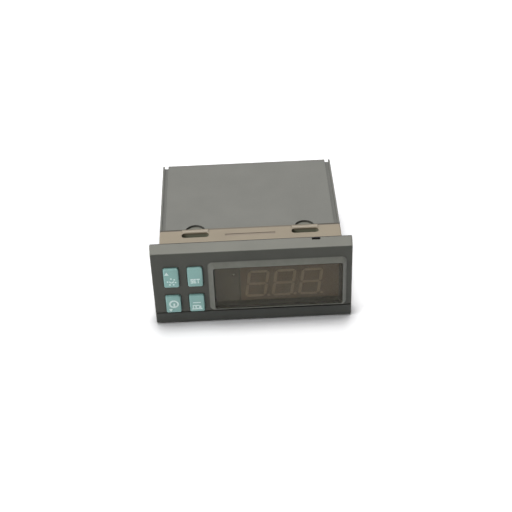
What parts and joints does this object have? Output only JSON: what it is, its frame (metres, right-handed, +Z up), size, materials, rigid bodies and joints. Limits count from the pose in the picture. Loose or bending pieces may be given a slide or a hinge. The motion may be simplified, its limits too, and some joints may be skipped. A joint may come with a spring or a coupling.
{
  "type": "pid temperature controller",
  "caption": "Panel-mount temperature controller with a bevelled display window, front push keys, an inner collar and a rectangular case with rear screw terminals.",
  "frame": {"origin": "centre of the panel cut-out, in the plane of the front frame's rear edge", "axes": "+X to the right seen from the front, +Y into the panel, +Z up"},
  "size_m": [0.0762, 0.0647, 0.0342],
  "materials": {
    "frame_plastic": "dark grey moulded plastic, satin",
    "case_plastic": "dark grey moulded plastic, fine texture",
    "collar_plastic": "beige moulded plastic, fine texture",
    "smoked_window": "smoked brown transparent plastic, glossy",
    "key_plastic": "teal moulded keys",
    "gasket_rubber": "thin black gasket",
    "display_plastic": "brown display block",
    "segment_epoxy": "unlit translucent epoxy bars",
    "holder_plastic": "grey lamp holder",
    "led_lens": "unlit lamp",
    "circuit_board": "green solder mask",
    "black_plastic": "black moulded plastic",
    "plunger_plastic": "light moulded plastic",
    "lamination_steel": "varnished laminations",
    "bobbin_plastic": "off-white bobbin",
    "winding_tape": "yellow insulating tape over the winding",
    "relay_plastic": "blue relay cans",
    "capacitor_can": "dark sleeve",
    "chip_epoxy": "black moulded package",
    "varistor_ceramic": "blue coated disc",
    "terminal_plastic": "black terminal blocks",
    "plated_steel": "plated steel"
  },
  "bodies": {
    "controller": {"front_frame": "frame_plastic", "case_shell": "case_plastic", "inner_collar": "collar_plastic", "display_lens": "smoked_window", "panel_gasket": "gasket_rubber", "display_housing": "display_plastic", "display_segments": "segment_epoxy", "led_holder": "holder_plastic", "status_led": "led_lens", "display_board": "circuit_board", "main_board": "circuit_board", "board_header": "black_plastic", "board_socket": "black_plastic", "transformer_core": "lamination_steel", "transformer_bobbin": "bobbin_plastic", "transformer_winding": "winding_tape", "relay_compressor": "relay_plastic", "relay_defrost": "relay_plastic", "relay_fan": "relay_plastic", "capacitor_input": "capacitor_can", "capacitor_output": "capacitor_can", "microcontroller": "chip_epoxy", "voltage_regulator": "chip_epoxy", "bridge_rectifier": "chip_epoxy", "varistor": "varistor_ceramic", "buzzer": "black_plastic", "terminal_block_left": "terminal_plastic", "terminal_block_right": "terminal_plastic", "terminal_cages": "plated_steel", "terminal_screws": "plated_steel", "switch_body_defrost": "black_plastic", "switch_body_set": "black_plastic", "switch_body_on_off": "black_plastic", "switch_body_mute": "black_plastic"},
    "key_defrost_body": {"key_defrost": "key_plastic", "switch_plunger_defrost": "plunger_plastic"},
    "key_set_body": {"key_set": "key_plastic", "switch_plunger_set": "plunger_plastic"},
    "key_on_off_body": {"key_on_off": "key_plastic", "switch_plunger_on_off": "plunger_plastic"},
    "key_mute_body": {"key_mute": "key_plastic", "switch_plunger_mute": "plunger_plastic"}
  },
  "joints": [
    {"name": "press_defrost", "type": "slide", "parent": "controller", "child": "key_defrost_body", "axis": [0, 1, 0], "range_m": [0, 0.0005], "stiffness_N_per_m": 1500},
    {"name": "press_set", "type": "slide", "parent": "controller", "child": "key_set_body", "axis": [0, 1, 0], "range_m": [0, 0.0005], "stiffness_N_per_m": 1500},
    {"name": "press_on_off", "type": "slide", "parent": "controller", "child": "key_on_off_body", "axis": [0, 1, 0], "range_m": [0, 0.0005], "stiffness_N_per_m": 1500},
    {"name": "press_mute", "type": "slide", "parent": "controller", "child": "key_mute_body", "axis": [0, 1, 0], "range_m": [0, 0.0005], "stiffness_N_per_m": 1500}
  ]
}
